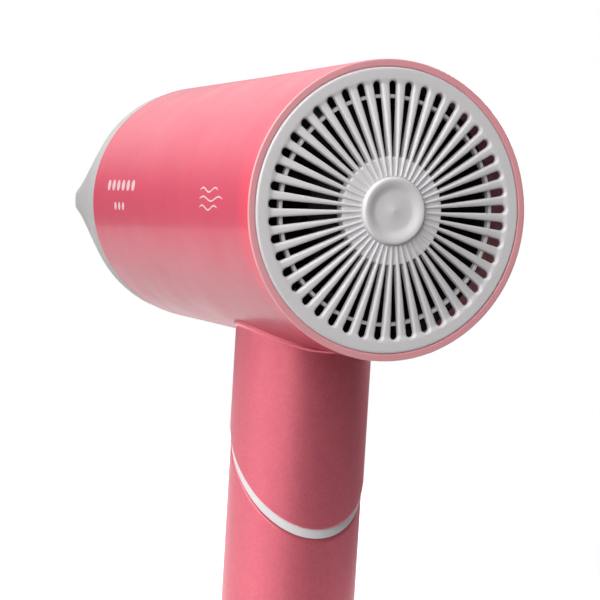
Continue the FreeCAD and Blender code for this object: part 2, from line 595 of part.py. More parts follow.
def make_grip():
    top = "ring_half + swivel_gap / 2"
    bottom = level("grip_end_below - end_cap_depth")
    outside = column("grip_outside", "grip_radius", bottom, slant(top))
    foot = "-grip_end_below + end_cap_depth"
    cone = bind(doc.addObject("Part::Cone", "grip_seam_cone"), Radius1="grip_radius - seam",
                Radius2="grip_radius", Height="seam")
    seam = cut(rod("grip_seam_band", "grip_radius + 1", "seam", x=GRIP_X, z=foot),
               put(cone, x=GRIP_X, z=foot))
    hollow = column("grip_hollow", "grip_radius - grip_wall", level("grip_end_below"),
                    slant(f"{top} + bulkhead"))
    window = box("grip_window", (ahead("9"), ahead("reach")), ("-cover_half", "cover_half"),
                 ("-cover_bottom", "-cover_top"))
    tube_hole = turned("grip_tube_hole", [("-2", "0"), ("-2", "tube_radius + tube_play"),
                                          ("12", "tube_radius + tube_play"), ("12", "0")],
                       **SWIVEL_AT)
    posts, bores = [], []
    for end in ("top", "bottom"):
        posts.append(rod(f"grip_post_{end}", "post_radius", "grip_radius - grip_wall + board_ahead + 0.6",
                         x=ahead("(grip_wall - grip_radius - 0.6)"), z=f"-screw_{end}", turn=ALONG_X))
        bores.append(rod(f"grip_bore_{end}", "screw_radius", "14", x=ahead("(board_ahead - 12)"),
                         z=f"-screw_{end}", turn=ALONG_X))
    tube = cut(outside, hollow, window, tube_hole, seam, swivel_travel())
    piece(cut(fuse(tube, *posts), *bores), "grip_shell")


def make_cover():
    tube = cut(column("cover_outside", "grip_radius", level("cover_bottom - cover_gap"),
                      level("cover_top + cover_gap")),
               rod("cover_hollow", "grip_radius - grip_wall", "200", x=GRIP_X, z="-200"))
    window = box("cover_window", (ahead("9.2"), ahead("reach")),
                 ("-cover_half + cover_gap", "cover_half - cover_gap"),
                 ("-cover_bottom", "-cover_top"))
    pcb_face = ahead("board_ahead + pcb_thick")
    bosses, holes = [], []
    for end in ("top", "bottom"):
        bosses.append(rod(f"cover_boss_{end}", "post_radius + 0.6",
                          "grip_radius - grip_wall + 0.5 - board_ahead - pcb_thick", x=pcb_face,
                          z=f"-screw_{end}", turn=ALONG_X))
        holes.append(rod(f"cover_hole_{end}", "screw_radius + 0.1", "20", x=pcb_face,
                         z=f"-screw_{end}", turn=ALONG_X))
        holes.append(rod(f"cover_sink_{end}", "screw_head + 0.2", "5", x=ahead("grip_radius - 2.4"),
                         z=f"-screw_{end}", turn=ALONG_X))
    slot = box("cover_slot", (ahead("9"), ahead("reach")), ("-stem_half - 0.4", "stem_half + 0.4"),
               ("-knob_below - stem_length / 2 - 0.4", "-knob_below + stem_length / 2 + knob_travel + 0.4"))
    button_hole = rod("cover_button_hole", "button_radius + button_play", "20", x=ahead("9"),
                      z="-button_below", turn=ALONG_X)
    piece(cut(fuse(common(tube, window), *bosses), *holes, slot, button_hole), "switch_cover")
    screws = []
    for end in ("top", "bottom"):
        screws.append(rod(f"screw_head_{end}", "screw_head", "1.4", x=ahead("grip_radius - 2.4"),
                          z=f"-screw_{end}", turn=ALONG_X))
        screws.append(rod(f"screw_shank_{end}", "screw_radius", "grip_radius - 2.3 - board_ahead + 10",
                          x=ahead("(board_ahead - 10)"), z=f"-screw_{end}", turn=ALONG_X))
    piece(fuse(*screws), "cover_screws")


def make_controls():
    pad_front = ahead("grip_radius + 2.5")
    knob = [box("knob_pad", (ahead("grip_radius + 0.3"), pad_front), ("-knob_half", "knob_half"),
                ("-knob_below - knob_length / 2", "-knob_below + knob_length / 2")),
            box("knob_stem", (ahead("grip_radius - 6"), ahead("grip_radius + 0.4")),
                ("-stem_half", "stem_half"),
                ("-knob_below - stem_length / 2", "-knob_below + stem_length / 2")),
            box("knob_plate", (ahead("grip_radius - 5.4"), ahead("grip_radius - 3.9")), ("-4.4", "4.4"),
                ("-knob_below - 5", "-knob_below + 5"))]
    ridges = [box(f"knob_ridge_{i}", (pad_front, ahead("grip_radius + 3")), ("-knob_half + 0.5",
                                                                          "knob_half - 0.5"),
                  (f"-knob_below + {1.8 * i} - 0.4", f"-knob_below + {1.8 * i} + 0.4"))
              for i in (-2, -1, 0, 1, 2)]
    piece(fuse(*knob, *ridges), "selector_knob")
    piece(turned("cool_button", [
        ("grip_radius - 5.4", "0"), ("grip_radius - 5.4", "button_flange"),
        ("grip_radius - 4", "button_flange"), ("grip_radius - 4", "button_radius"),
        ("grip_radius + 0.9", "button_radius"), ("grip_radius + 1.4", "button_radius - 0.5"),
        ("grip_radius + 1", "2.5"), ("grip_radius + 0.9", "0")], x=GRIP_X, z="-button_below"),
        "cool_button")


def make_circuit():
    under, face = ahead("board_ahead"), ahead("board_ahead + pcb_thick")
    board = box("pcb_blank", (under, face), ("-pcb_half", "pcb_half"), ("-pcb_bottom", "-pcb_top"))
    holes = [rod(f"pcb_hole_{end}", "screw_radius + 0.1", "4", x=ahead("board_ahead - 1"),
                 z=f"-screw_{end}", turn=ALONG_X) for end in ("top", "bottom")]
    piece(cut(board, *holes), "circuit_board")
    piece(box("slide_switch", (face, ahead("grip_radius - 6.2")), ("-4", "4"),
              ("-knob_below - 6", "-knob_below + knob_travel + 4")), "slide_switch")
    piece(fuse(box("cool_switch_case", (face, ahead("grip_radius - 8.2")), ("-4", "4"),
                   ("-button_below - 4", "-button_below + 4")),
               rod("cool_switch_plunger", "1.2", "1.1", x=ahead("grip_radius - 8.3"),
                   z="-button_below", turn=ALONG_X)), "cool_switch")
    diodes = [rod(f"diode_{i}", "1.4", "5", x=ahead("board_ahead - 1.4"), y=f"{y}", z=f"{z}")
              for i, (y, z) in enumerate(((-6, -104), (-2, -104), (2, -104), (6, -104)))]
    piece(fuse(*diodes), "rectifier_diodes")
    piece(box("filter_capacitor", (ahead("board_ahead - 7.5"), under), ("-7", "7"), ("-136", "-122")),
          "filter_capacitor")


def make_grip_end():
    floor = "grip_end_below - end_floor"
    shoulder = "grip_end_below - end_cap_depth"
    rim, plug = "grip_radius", "grip_radius - grip_wall - 0.1"
    cap = turned("end_cap_cup", [
        (f"{shoulder} - end_plug", "14"), (f"{shoulder} - end_plug", plug), (shoulder, plug),
        (shoulder, f"{rim} - seam"), (f"{shoulder} + seam", rim),
        ("grip_end_below - 1.2", rim), ("grip_end_below", f"{rim} - 1.2"),
        ("grip_end_below", "gland_radius + 0.1"), (floor, "gland_radius + 0.1"), (floor, "14")],
        **GRIP_DOWN)
    lug_x = "-grip_axis_behind - lug_behind"
    across = Rotation(Vector(1, 0, 0), 90)
    lug = fuse(rod("lug_round", "lug_radius", "2 * lug_half", x=lug_x, y="lug_half",
                   z="-grip_end_below - lug_below", turn=across),
               box("lug_web", (f"{lug_x} - lug_radius", f"{lug_x} + lug_radius"),
                   ("-lug_half", "lug_half"), ("-grip_end_below - lug_below", "-grip_end_below + 1")))
    eye = rod("lug_eye", "lug_hole", "4 * lug_half", x=lug_x, y="2 * lug_half",
              z="-grip_end_below - lug_below", turn=across)
    piece(cut(fuse(cap, lug), eye), "end_cap")
    piece(turned("cord_gland", [
        (f"{floor} - 6", "gland_bore"), (f"{floor} - 6", "gland_radius"),
        (f"{floor} - 2", "gland_radius"), (f"{floor} - 2", "gland_flange"), (floor, "gland_flange"),
        (floor, "gland_radius"), ("grip_end_below", "gland_radius"),
        ("grip_end_below", "gland_flange"), ("grip_end_below + 2.5", "gland_flange"),
        ("grip_end_below + 2.5", "gland_bore")], **GRIP_DOWN), "cord_gland")


def make_leads():
    """Straight internal wires on each side of the swivel; they end where they are joined on."""
    block = box("terminal_blank", ("-grip_axis_behind - 5", "-grip_axis_behind + 3"), ("-6", "6"),
                ("-cup_radius - 5", "-cup_radius"))
    piece(cut(block, rod("block_curve", "cup_radius", "20", x="-grip_axis_behind - 10",
                         turn=ALONG_X)), "terminal_block")
    rows = {"barrel_leads": ("-1", "-56", "-cup_radius - 5"),
            "grip_leads": ("board_ahead + pcb_thick / 2", "-pcb_top", "-74.5")}
    for label, (x, low, high) in rows.items():
        wires = [rod(f"{label}_{i}", "0.9", f"({high}) - ({low})", x=ahead(f"({x})"), y=f"{2.6 * i}",
                     z=low) for i in (-1, 0, 1)]
        piece(fuse(*wires), label)


# ---------------------------------------------------------------- make, check and write

for make in (make_barrel, make_neck, make_swivel, make_rear_grille, make_duct, make_fan, make_motor,
             make_heater, make_outlet, make_nozzle, make_grip, make_cover, make_controls,
             make_circuit, make_grip_end, make_leads):
    make()
doc.recompute()

for thing in doc.Objects:
    if "Invalid" in thing.State or "Error" in thing.State:
        raise RuntimeError(f"{thing.Name} failed: {thing.State}")

os.makedirs("parts", exist_ok=True)
for thing in pieces:
    shape = thing.Shape
    if shape.isNull() or not shape.isValid() or shape.Volume <= 0:
        raise RuntimeError(f"{thing.Label} has no valid shape")
    shape.exportStep(f"parts/{thing.Label}.step")
    size = shape.BoundBox
    print(f"{thing.Label:22} {len(shape.Solids)} solid(s) {shape.Volume:10.1f} mm3  "
          f"x {size.XMin:.1f}..{size.XMax:.1f}  y {size.YMin:.1f}..{size.YMax:.1f}  "
          f"z {size.ZMin:.1f}..{size.ZMax:.1f}")
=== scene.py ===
"""Looks for the travel hair dryer: studio, materials and the detailed visible pieces.

Lengths in the shape code are millimetres in the CAD frame: +X along the air flow, +Z up, origin at
the centre of the barrel's front rim. skin() turns them into metres.
"""

from math import copysign, cos, pi, radians, sin, sqrt, tan

import bmesh
import bpy
from mathutils import Matrix, Vector


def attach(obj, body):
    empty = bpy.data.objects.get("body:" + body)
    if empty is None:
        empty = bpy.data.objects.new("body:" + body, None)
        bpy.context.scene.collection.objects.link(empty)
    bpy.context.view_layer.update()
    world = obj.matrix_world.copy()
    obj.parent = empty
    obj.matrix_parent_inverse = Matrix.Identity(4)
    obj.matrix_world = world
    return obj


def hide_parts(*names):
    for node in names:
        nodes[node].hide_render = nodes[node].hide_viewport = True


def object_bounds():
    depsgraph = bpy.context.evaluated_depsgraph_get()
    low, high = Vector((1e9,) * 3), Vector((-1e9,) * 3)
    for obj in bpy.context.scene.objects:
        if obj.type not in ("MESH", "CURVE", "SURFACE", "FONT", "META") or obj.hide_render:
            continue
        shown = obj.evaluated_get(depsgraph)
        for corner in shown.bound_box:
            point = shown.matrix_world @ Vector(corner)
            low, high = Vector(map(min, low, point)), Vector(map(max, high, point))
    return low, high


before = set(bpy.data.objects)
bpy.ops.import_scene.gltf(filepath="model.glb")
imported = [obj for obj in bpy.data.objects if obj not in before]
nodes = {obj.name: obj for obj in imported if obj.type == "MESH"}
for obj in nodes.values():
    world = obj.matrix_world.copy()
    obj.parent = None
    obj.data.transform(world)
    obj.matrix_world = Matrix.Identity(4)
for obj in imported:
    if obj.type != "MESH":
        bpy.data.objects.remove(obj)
cad_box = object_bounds()
MM = 0.001

# Sizes shared with the CAD solids, mm
LENGTH, REAR_R, FRONT_R, BORE = 140, 36, 35.6, 34.2
STRAIGHT = 68                       # length of the barrel's straight front part
RIM_X = -LENGTH - 0.8
GRIP_X, NECK_R, GRIP_R, SWIVEL_Z = -90, 18.1, 17.7, -66.2
RING_HALF, GAP = 1.05, 0.2          # half the swivel ring's thickness; clearance to the grip
FOOT, CAP_END = -150, -170          # where the grip ends and where its end cap ends
SLOTS, SLOT_END, SLOT_TURN = 45, 30.9, radians(2.1)
COLLAR_R, SPIGOT_R = 35.1, 31       # the nozzle's collar and the spigot inside the barrel
NOZZLE_END, HOOD_START = 32, 8.4    # X of the nozzle's mouth and of the hood's round end


def angles(turn, steps, first=0):
    """Evenly spaced angles from 0 to turn, both ends included unless first skips some."""
    return [turn * i / steps for i in range(first, steps + 1)]


def ring(count, shift=0.0):
    """(cosine, sine) pairs once round a circle, shift of a step past the start."""
    return [(cos(2 * pi * (k + shift) / count), sin(2 * pi * (k + shift) / count))
            for k in range(count)]


# ---------------------------------------------------------------- materials

BUMP_DEPTH = 0.05


def material(name, colour, rough=0.4, rough_spread=0.08, mottle=0.04, mottle_mm=6, grain=0.02,
             grain_mm=0.25, flake=0.0, flake_mm=0.12, **sockets):
    """A procedural finish: mottled colour, uneven roughness, fine grain and optional metal flake."""
    mat = bpy.data.materials.new(name)
    mat.use_nodes = True
    tree = mat.node_tree
    shader = tree.nodes["Principled BSDF"]
    new, link = tree.nodes.new, tree.links.new
    where = new("ShaderNodeTexCoord").outputs["Object"]

    def noise(size_mm, detail=3):
        node = new("ShaderNodeTexNoise")
        node.inputs["Scale"].default_value = 1 / (size_mm * MM)
        node.inputs["Detail"].default_value = detail
        link(where, node.inputs["Vector"])
        return node.outputs["Fac"]

    def spread(source, low, high):
        node = new("ShaderNodeMapRange")
        node.inputs["From Min"].default_value = 0.3
        node.inputs["From Max"].default_value = 0.7
        node.inputs["To Min"].default_value = low
        node.inputs["To Max"].default_value = high
        link(source, node.inputs["Value"])
        return node.outputs["Result"]

    patches = noise(mottle_mm)
    shade = new("ShaderNodeMix")
    shade.data_type = "RGBA"
    shade.inputs[6].default_value = (*[c * (1 - mottle) for c in colour], 1)
    shade.inputs[7].default_value = (*[min(1, c * (1 + mottle)) for c in colour], 1)
    link(spread(patches, 0, 1), shade.inputs[0])
    tint = shade.outputs[2]
    link(spread(noise(mottle_mm * 0.4, 5), rough - rough_spread / 2, rough + rough_spread / 2),
         shader.inputs["Roughness"])
    height = noise(grain_mm, 2)
    if flake:
        cells = new("ShaderNodeTexVoronoi")
        cells.inputs["Scale"].default_value = 1 / (flake_mm * MM)
        link(where, cells.inputs["Vector"])
        bright = new("ShaderNodeMix")
        bright.data_type = "RGBA"
        bright.blend_type = "SCREEN"
        link(tint, bright.inputs[6])
        link(cells.outputs["Color"], bright.inputs[7])
        bright.inputs[0].default_value = flake
        tint = bright.outputs[2]
    link(tint, shader.inputs["Base Color"])
    bump = new("ShaderNodeBump")
    bump.inputs["Strength"].default_value = grain
    bump.inputs["Distance"].default_value = BUMP_DEPTH * MM
    link(height, bump.inputs["Height"])
    link(bump.outputs["Normal"], shader.inputs["Normal"])
    for key, value in sockets.items():
        shader.inputs[key.replace("_", " ")].default_value = value
    return mat


def paint_reflected_red(mat, start, stop, tint):
    """Paints reflected light into a finish: deepens it along the object's X, from nothing at start to the
    full tint at stop (mm).
    """
    tree = mat.node_tree
    new, link = tree.nodes.new, tree.links.new
    base = tree.nodes["Principled BSDF"].inputs["Base Color"]
    split, ramp = new("ShaderNodeSeparateXYZ"), new("ShaderNodeMapRange")
    mix = new("ShaderNodeMix")
    link(new("ShaderNodeTexCoord").outputs["Object"], split.inputs[0])
    ramp.interpolation_type = "SMOOTHSTEP"
    ramp.inputs["From Min"].default_value = start * MM
    ramp.inputs["From Max"].default_value = stop * MM
    link(split.outputs["X"], ramp.inputs["Value"])
    mix.data_type, mix.blend_type = "RGBA", "MULTIPLY"
    link(ramp.outputs["Result"], mix.inputs[0])
    link(base.links[0].from_socket, mix.inputs[6])
    mix.inputs[7].default_value = (*tint, 1)
    link(mix.outputs[2], base)


PINK = material("gloss_pink", (0.76, 0.097, 0.160), rough=0.42, mottle=0.02, mottle_mm=30, grain=0.05,
                grain_mm=1.5, Specular_IOR_Level=0.12, Coat_Weight=0.20, Coat_Roughness=0.14)
# Painted reflected light: the barrel's pink turns redder over its last 10 mm at the rear
paint_reflected_red(PINK, -130, -140, (1.24, 1.03, 1.02))
# A lit copy of the barrel's pink: paler, painted light on the rear end face and in the rear of the bore
LIT_RIM = material("rim_pink_painted_light", (0.95, 0.41, 0.45), rough=0.34, mottle=0.02, mottle_mm=6, grain=0.1,
               grain_mm=0.8, Coat_Weight=0.8, Coat_Roughness=0.08)
PEARL = material("pearl_pink", (0.66, 0.112, 0.164), rough=0.46, mottle=0.03, mottle_mm=3, grain=0.3,
                 grain_mm=0.3, flake=0.06, flake_mm=0.25, Metallic=0.6, Specular_IOR_Level=0.35,
                 Coat_Weight=0.35, Coat_Roughness=0.38)
WHITE = material("white_plastic", (0.812, 0.79, 0.808), rough=0.34, mottle=0.012, mottle_mm=9,
                 grain=0.06, grain_mm=0.5)
PALE = material("nozzle_grey", (0.56, 0.55, 0.552), rough=0.5, mottle=0.02, mottle_mm=8, grain=0.25,
                grain_mm=0.35)
INK = material("printed_ink", (0.90, 0.62, 0.66), rough=0.5, mottle=0.03, mottle_mm=1, grain=0.1)
DARK = material("dark_plastic", (0.018, 0.018, 0.02), rough=0.45, mottle=0.1, grain=0.2, grain_mm=0.4)
HEAT = material("heat_plastic", (0.035, 0.033, 0.033), rough=0.55, mottle=0.12, grain=0.4, grain_mm=0.4)
STEEL = material("bright_steel", (0.55, 0.56, 0.58), rough=0.28, rough_spread=0.2, grain=0.15,
                 grain_mm=0.2, Metallic=1.0)
ZINC = material("zinc_steel", (0.50, 0.51, 0.53), rough=0.42, rough_spread=0.2, mottle=0.12,
                mottle_mm=1.5, grain=0.25, grain_mm=0.3, Metallic=1.0)
FERRITE = material("ferrite", (0.03, 0.03, 0.032), rough=0.6, grain=0.5, grain_mm=0.2)
BRONZE = material("sintered_bronze", (0.42, 0.25, 0.10), rough=0.5, grain=0.6, grain_mm=0.12,
                  Metallic=1.0)
COPPER = material("copper_winding", (0.50, 0.19, 0.09), rough=0.35, mottle=0.25, mottle_mm=0.6,
                  grain=0.6, grain_mm=0.3, Metallic=0.9)
MICA = material("pressed_mica", (0.42, 0.33, 0.21), rough=0.4, rough_spread=0.25, mottle=0.22,
                mottle_mm=1.8, grain=0.5, grain_mm=0.6)
WIRE = material("heater_wire", (0.36, 0.33, 0.31), rough=0.4, mottle=0.2, mottle_mm=1.2, grain=0.4,
                grain_mm=0.2, Metallic=0.9)
RUBBER = material("black_rubber", (0.02, 0.02, 0.02), rough=0.75, grain=0.5, grain_mm=0.3)
BOARD = material("board_green", (0.02, 0.10, 0.05), rough=0.3, mottle=0.15, mottle_mm=2, grain=0.2)
CASE = material("component_black", (0.012, 0.012, 0.013), rough=0.3, grain=0.15)
FILM = material("capacitor_yellow", (0.62, 0.40, 0.05), rough=0.3, mottle=0.05, grain=0.2)
LEAD = material("wire_silicone", (0.55, 0.06, 0.03), rough=0.5, mottle=0.08, grain=0.2)

# The CAD nodes' own finishes: what shows where no visible piece stands for a node
KEPT = {
    STEEL: ["swivel_tube", "swivel_washer", "swivel_clip", "stop_pin", "motor_shaft", "thermostat",
            "thermal_fuse", "nozzle_snap_ring"],
    ZINC: ["motor_can", "cover_screws"],
    DARK: ["fan_duct", "fan_impeller", "motor_end_cap", "terminal_block"],
    HEAT: ["outlet_ring", "outlet_grille"],
    FERRITE: ["motor_magnets"], BRONZE: ["motor_bushes"], COPPER: ["motor_armature"],
    MICA: ["mica_board_upright", "mica_board_flat", "mica_sleeve"],
    WIRE: ["heater_coil_rear", "heater_coil_front"], RUBBER: ["motor_sleeve"],
    BOARD: ["circuit_board"], CASE: ["slide_switch", "cool_switch", "rectifier_diodes"],
    FILM: ["filter_capacitor"], LEAD: ["barrel_leads", "grip_leads"],
    WHITE: ["rear_grille", "grille_cap", "swivel_ring", "switch_cover", "selector_knob",
            "cool_button", "cord_gland"],
    PINK: ["barrel_shell"], PEARL: ["neck_shell", "grip_shell", "end_cap"],
    PALE: ["concentrator_nozzle"],
}
for finish, names in KEPT.items():
    for name in names:
        mesh = nodes[name].data
        mesh.materials.clear()
        mesh.materials.append(finish)


# ---------------------------------------------------------------- shape helpers

def skin(name, points, faces, finish, sharp=35):
    """A smooth-shaded mesh object from points in millimetres."""
    mesh = bpy.data.meshes.new(name)
    mesh.from_pydata([Vector(p) * MM for p in points], [], faces)
    work = bmesh.new()
    work.from_mesh(mesh)
    bmesh.ops.remove_doubles(work, verts=work.verts, dist=2e-6)
    bmesh.ops.recalc_face_normals(work, faces=work.faces)
    work.to_mesh(mesh)
    work.free()
    mesh.materials.append(finish)
    piece = bpy.data.objects.new(name, mesh)
    bpy.context.scene.collection.objects.link(piece)
    smooth(piece, sharp)
    return piece


def smooth(piece, sharp=35):
    piece.data.shade_smooth()
    piece.data.set_sharp_from_angle(angle=radians(sharp))


def stand_for(piece, body, slot, *replaced):
    """Ride on a body and stand for CAD nodes; slot is not used."""
    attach(piece, body)
    if replaced:
        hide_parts(*replaced)
    return piece


def rounded(corners, steps=5, support=0.5):
    """A closed outline from (a, b, radius) corners: each corner turned into an arc with a support
    point before and after it, so that smooth shading stays on the arc."""
    out = []
    count = len(corners)
    for i, (a, b, radius) in enumerate(corners):
        here = Vector((a, b))
        back = Vector(corners[i - 1][:2]) - here
        ahead = Vector(corners[(i + 1) % count][:2]) - here
        if not radius or back.length < 1e-6 or ahead.length < 1e-6:
            out.append((a, b))
            continue
        turn = pi - back.angle(ahead)
        reach = min(radius * tan(turn / 2), 0.45 * back.length, 0.45 * ahead.length)
        r = reach / tan(turn / 2)
        start, end = here + back.normalized() * reach, here + ahead.normalized() * reach
        middle = here + (back.normalized() + ahead.normalized()).normalized() * (r / cos(turn / 2))
        if back.length > reach * 2.5:
            out.append(tuple(start + back.normalized() * min(support * reach,
                                                             0.3 * (back.length - reach))))
        for k in range(steps + 1):
            f = k / steps
            spoke = (start - middle).lerp(end - middle, f)
            out.append(tuple(middle + spoke.normalized() * r))
        if ahead.length > reach * 2.5:
            out.append(tuple(end + ahead.normalized() * min(support * reach,
                                                            0.3 * (ahead.length - reach))))
    return out


def bands(name, loops, finish, closed=True, sharp=35, ends=False):
    """Join a run of closed loops of equal count with quads; closed joins the last to the first."""
    count = len(loops[0])
    points = [p for loop in loops for p in loop]
    faces = []
    runs = len(loops) if closed else len(loops) - 1
    for i in range(runs):
        j = (i + 1) % len(loops)
        for k in range(count):
            m = (k + 1) % count
            faces.append((i * count + k, i * count + m, j * count + m, j * count + k))
    if ends:
        faces += [tuple(range(count)), tuple((len(loops) - 1) * count + k for k in range(count))]
    return skin(name, points, faces, finish, sharp)


def lathe(name, profile, finish, segments=160, place=Matrix(), sharp=35):
    """Turn a closed (along, radius) outline about the X axis of place."""
    loops = [[place @ Vector((a, r * c, r * s)) for c, s in ring(segments)] for a, r in profile]
    return bands(name, loops, finish, sharp=sharp)


def column(rows, segments=192):
    """Loops round the grip's axis from (radius, height) rows; height is a number or f(x, y)."""
    loops = []
    for radius, height in rows:
        spots = [(radius * c, radius * s) for c, s in ring(segments)]
        loops.append([(GRIP_X + x, y, height(x, y) if callable(height) else height)
                      for x, y in spots])
    return loops


def circle(a, b, radius, count=48):
    return [(a + radius * c, b + radius * s) for c, s in ring(count)]


def carve(piece, cutters, operation="DIFFERENCE", bevel=0.0, sharp=35):
    """Apply booleans, and a small bevel on the new edges, to the piece's mesh."""
    for cutter in cutters:
        step = piece.modifiers.new("carve", "BOOLEAN")
        step.operation, step.object, step.solver = operation, cutter, "EXACT"
    if bevel:
        step = piece.modifiers.new("soften", "BEVEL")
        step.width, step.segments, step.limit_method = bevel * MM, 3, "ANGLE"
        step.angle_limit = radians(40)
        step.harden_normals = False
    deps = bpy.context.evaluated_depsgraph_get()
    made = bpy.data.meshes.new_from_object(piece.evaluated_get(deps))
    piece.modifiers.clear()
    piece.data = made
    for cutter in cutters:
        bpy.data.objects.remove(cutter)
    smooth(piece, sharp)
    return piece


def join(pieces):
    """Put the later pieces' meshes into the first one."""
    work = bmesh.new()
    for piece in pieces:
        work.from_mesh(piece.data)
    work.to_mesh(pieces[0].data)
    work.free()
    for piece in pieces[1:]:
        bpy.data.objects.remove(piece)
    smooth(pieces[0])
    return pieces[0]


def prism(name, outline, low, high, finish, axes="xz", sharp=35):
    """A closed outline in two axes pushed along the third from low to high."""
    third = ({"x", "y", "z"} - set(axes)).pop()

    def at(a, b, c):
        spot = {axes[0]: a, axes[1]: b, third: c}
        return (spot["x"], spot["y"], spot["z"])
    return bands(name, [[at(a, b, low) for a, b in outline], [at(a, b, high) for a, b in outline]],
                 finish, closed=False, sharp=sharp, ends=True)


# ---------------------------------------------------------------- barrel

def barrel_radius(x):
    """The barrel's outside radius: even at the front, growing steadily to the rear."""
    if x > -STRAIGHT:
        return FRONT_R
    return FRONT_R + (REAR_R - FRONT_R) * (-x - STRAIGHT) / (LENGTH - STRAIGHT)


LIT_REACH_INSIDE, LIT_REACH_EDGE = 14, 0.4      # how far the paler pink of painted light reaches, inside the bore and over the outer edge
tube = rounded([(RIM_X, BORE, 0.35), (RIM_X, REAR_R, 0.35), (-STRAIGHT, FRONT_R, 0),
                (0, FRONT_R, 0.35), (0, BORE, 0.2), (-LENGTH + 14, BORE, 0)], steps=6)
barrel = lathe("barrel_skin", tube, PINK, 256)
barrel.data.materials.append(LIT_RIM)
# Painted light: the rear end face, its rounded edges and the bore's last 14 mm take the paler pink
for face in barrel.data.polygons:
    inside = Vector(face.center.yz).length < (BORE + 0.05) * MM
    if face.center.x < (RIM_X + (LIT_REACH_INSIDE if inside else LIT_REACH_EDGE)) * MM:
        face.material_index = 1
stand_for(barrel, "barrel", "barrel_paint", "barrel_shell")


INK_DEPTH, INK_LIFT = 0.1, 0.02


def printed(name, outlines):
    """Thin printed marks on the barrel's left side, from outlines of (x, arc round the barrel)."""
    def on_barrel(x, arc, proud):
        r = barrel_radius(x)
        return (x, (r + proud) * cos(arc / r), (r + proud) * sin(arc / r))

    parts = [bands("mark", [[on_barrel(x, arc, proud) for x, arc in outline]
                            for proud in (-INK_DEPTH, INK_LIFT)], INK, closed=False, ends=True)
             for outline in outlines]
    whole = join(parts)
    whole.name = whole.data.name = name
    return stand_for(whole, "barrel", "white_plastic")


def wave(x, arc, length, swell=0.55, width=0.42):
    """A short wavy stroke with round ends."""
    middle = [(x - length / 2 + length * i / 24, arc + swell * sin(2 * pi * 1.5 * i / 24))
              for i in range(25)]
    upper, lower = [], []
    for i, (a, b) in enumerate(middle):
        taper = width / 2 * min(1, (0.35 + i) / 3, (24.35 - i) / 3) ** 0.5
        upper.append((a, b + taper))
        lower.append((a, b - taper))
    return upper + lower[::-1]


printed("wave_mark", [wave(-111, 2.6, 14), wave(-113, 0.4, 18), wave(-111, -1.8, 14)])
printed("dot_marks", [circle(-42.5 + 5 * i, 3.4, 1.6, 16) for i in range(6)]
        + [circle(-33.5 + 4 * i, -2.6, 1.15, 16) for i in range(3)])


# ---------------------------------------------------------------- rear grille

HUB_END, FLANGE_IN, FLANGE_OUT = 8.4, 32.4, 34.15   # spokes' inner ends; the flange's radii


def grille_height(r):
    """How far the grille's face stands behind the barrel's nominal length at radius r."""
    if r > 31.2:
        return 1.0
    if r > 30.2:
        return 0.75 + 0.25 * (r - 30.2)
    return 0.75 + 1.75 * (1 - ((max(r, 8.1) - 8.1) / 22.1) ** 1.5)


def slot_half(r):
    """Half a slot's width at radius r."""
    return 0.5 + 0.0314 * (r - 13.4)


def spoke_back(r):
    """X of a spoke's hidden side: the spokes are deepest beside the hub."""
    return -LENGTH - grille_height(r) + 1.35 + 0.045 * (SLOT_END - r)


EDGE_ROLL = 0.62


def grille_cell():
    """One slot and its two half spokes, laid along the radius: rows of points from the spokes'
    middle lines in to the slot's edge, rolled over it, and round the hidden back."""
    half_pitch = pi / SLOTS
    start, round_r = HUB_END, slot_half(SLOT_END - 1.03)
    arc_at, reach = SLOT_END - round_r, FLANGE_IN
    inner, outer = [], []
    stations = [start + (arc_at - start) * (i / 14) for i in range(15)]
    for r in stations:
        inner.append((r, -slot_half(r)))
        outer.append((r, -half_pitch))
    for i in range(1, 16):
        beta = -90 + 180 * i / 16
        inner.append((arc_at + round_r * cos(radians(beta)), round_r * sin(radians(beta))))
        if abs(beta) > 45:
            outer.append((arc_at + (reach - arc_at) * tan(radians(90 - abs(beta))),
                          half_pitch * (1 if beta > 0 else -1)))
        else:
            outer.append((reach, half_pitch * tan(radians(beta))))
    for r in reversed(stations):
        inner.append((r, slot_half(r)))
        outer.append((r, half_pitch))
    edge = [Vector((r, t)) for r, t in inner]
    far = [Vector((r * cos(a), r * sin(a))) for r, a in outer]
    rows = []
    for u in (1, 0.8, 0.6, 0.42, 0.27, 0.15, 0.06, 0):
        row = []
        for e, f in zip(edge, far):
            p = e.lerp(f, u)
            width = (f - e).length
            roll = min(EDGE_ROLL, width)
            inset = u * width
            drop = roll - sqrt(max(0, roll ** 2 - (roll - inset) ** 2)) if inset < roll else 0
            row.append((-LENGTH - grille_height(p.length) + drop, p.x, p.y))
        rows.append(row)
    rows.append([(-LENGTH - grille_height(e.length) + 0.67, e.x, e.y) for e in edge])
    rows.append([(spoke_back(e.length), e.x, e.y) for e in edge])
    rows.append([(spoke_back(f.length), f.x, f.y) for f in far])
    return rows


